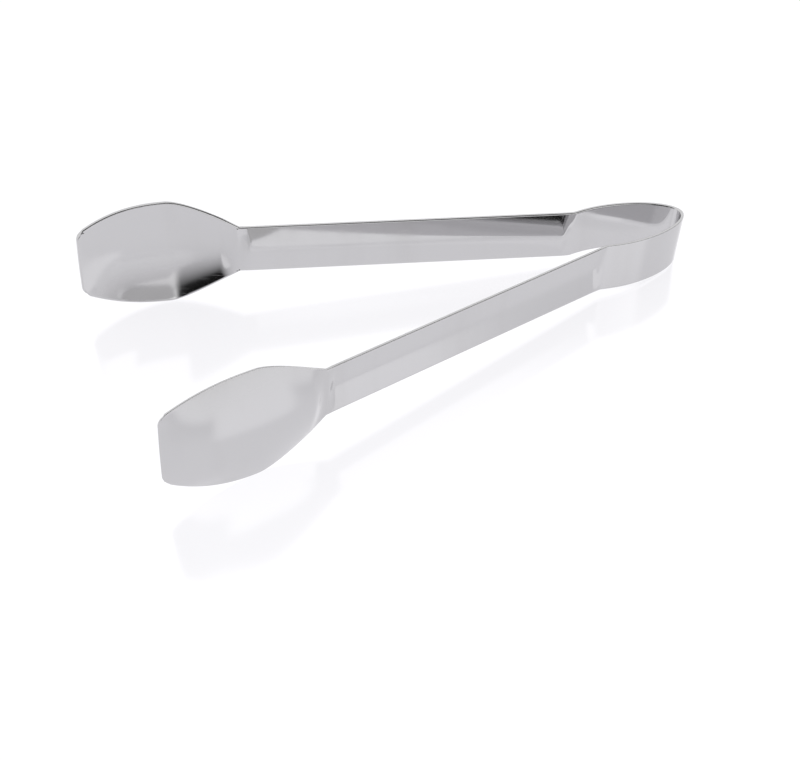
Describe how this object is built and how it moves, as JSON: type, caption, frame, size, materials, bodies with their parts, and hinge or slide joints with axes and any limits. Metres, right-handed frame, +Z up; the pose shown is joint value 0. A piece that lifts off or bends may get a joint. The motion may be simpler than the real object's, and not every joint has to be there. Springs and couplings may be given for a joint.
{
  "type": "ice tongs",
  "caption": "Sprung stainless steel ice tongs: a flat folded bow, two ridged arms and shallow square-ended bowls, standing on edge.",
  "frame": {"origin": "on the surface that the tongs stand on, under the centre of their bounding box", "axes": "+Z up, +X from the bowls towards the bow, Y across the opening; the arms mirror each other in the XZ plane"},
  "size_m": [0.1814, 0.0918, 0.0354],
  "materials": {
    "polished_steel": "bright polished stainless steel with faint polishing lines"
  },
  "bodies": {
    "bow": {"bow_crown": "polished_steel"},
    "left_flank": {"left_bow_flank": "polished_steel"},
    "right_flank": {"right_bow_flank": "polished_steel"},
    "left_arm": {"left_arm": "polished_steel", "left_bowl": "polished_steel"},
    "right_arm": {"right_arm": "polished_steel", "right_bowl": "polished_steel"}
  },
  "joints": [
    {"name": "left_bow_flex", "type": "hinge", "parent": "bow", "child": "left_flank", "pos_m": [0.08571, -0.00528, 0.00822], "axis": [-0.0624, 0, -0.9981], "range_deg": [-1.5, 7.3], "stiffness_Nm_per_rad": 16.4},
    {"name": "left_arm_flex", "type": "hinge", "parent": "left_flank", "child": "left_arm", "pos_m": [0.05695, -0.00975, 0.01002], "axis": [-0.0624, 0, -0.9981], "range_deg": [-1.5, 7.3], "stiffness_Nm_per_rad": 16.4},
    {"name": "right_bow_flex", "type": "hinge", "parent": "bow", "child": "right_flank", "pos_m": [0.08571, 0.00528, 0.00822], "axis": [0.0624, 0, 0.9981], "range_deg": [-1.5, 7.3], "stiffness_Nm_per_rad": 16.4},
    {"name": "right_arm_flex", "type": "hinge", "parent": "right_flank", "child": "right_arm", "pos_m": [0.05695, 0.00975, 0.01002], "axis": [0.0624, 0, 0.9981], "range_deg": [-1.5, 7.3], "stiffness_Nm_per_rad": 16.4}
  ],
  "couplings": [
    {"joint": "left_bow_flex", "follows": "left_arm_flex", "ratio": 1},
    {"joint": "right_bow_flex", "follows": "right_arm_flex", "ratio": 1}
  ]
}
